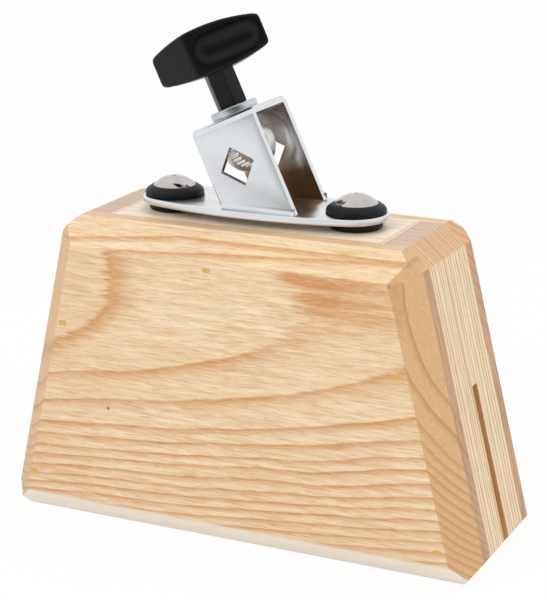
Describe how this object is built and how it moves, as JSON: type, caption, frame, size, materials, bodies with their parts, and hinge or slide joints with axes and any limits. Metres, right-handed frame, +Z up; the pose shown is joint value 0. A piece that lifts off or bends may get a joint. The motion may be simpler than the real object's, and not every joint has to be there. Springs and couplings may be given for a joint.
{
  "type": "woodblock",
  "caption": "Trapezoid wooden percussion block with bevelled rims, a sound chamber with sawn slots, and a rubber-mounted leaning rod clamp tightened by a wing nut.",
  "frame": {"origin": "centre of the rectangle that the block stands on, at the level of its underside", "axes": "+X along the block to the right as seen from the front, +Y from the front panel to the back panel, +Z up towards the clamp"},
  "size_m": [0.1962, 0.068, 0.1952],
  "materials": {
    "panel_wood": "satin lacquer on ash",
    "board_wood": "satin lacquer on ash",
    "strip_wood": "satin lacquer on a pale wood",
    "brad_steel": "plain wire",
    "filler": "sanded filler",
    "bracket_chrome": "bright chrome plate",
    "mount_rubber": "smooth black rubber",
    "spacer_steel": "zinc plate",
    "dome_chrome": "bright chrome plate",
    "eye_steel": "bright zinc plate",
    "washer_zinc": "bluish zinc plate",
    "grip_plastic": "satin black nylon"
  },
  "bodies": {
    "block": {"front_panel": "panel_wood", "back_panel": "panel_wood", "top_board": "board_wood", "left_end_board": "board_wood", "right_end_board": "board_wood", "bottom_rail_front": "board_wood", "bottom_rail_back": "board_wood", "left_joint_strip": "strip_wood", "right_joint_strip": "strip_wood", "panel_brads": "brad_steel", "brad_fillers": "filler", "clamp_bracket": "bracket_chrome", "left_grommet": "mount_rubber", "right_grommet": "mount_rubber", "left_spacer": "spacer_steel", "right_spacer": "spacer_steel", "left_dome_bolt": "dome_chrome", "right_dome_bolt": "dome_chrome", "left_inner_washer": "spacer_steel", "right_inner_washer": "spacer_steel", "left_inner_nut": "spacer_steel", "right_inner_nut": "spacer_steel", "clamp_washer": "washer_zinc"},
    "wing_nut": {"wing_nut_grip": "grip_plastic", "wing_nut_bush": "spacer_steel"},
    "eye": {"eye_bolt": "eye_steel"}
  },
  "joints": [
    {"name": "wing_nut_turn", "type": "hinge", "parent": "block", "child": "wing_nut", "pos_m": [-0.02108, 0, 0.18025], "axis": [-0.4163, 0, 0.9092], "range_deg": [0, 2880]},
    {"name": "eye_bolt_slide", "type": "slide", "parent": "block", "child": "eye", "axis": [0.4163, 0, -0.9092], "range_m": [0, 0.008]}
  ],
  "couplings": [
    {"joint": "wing_nut_turn", "follows": "eye_bolt_slide", "rad_per_m": 6283.2}
  ]
}
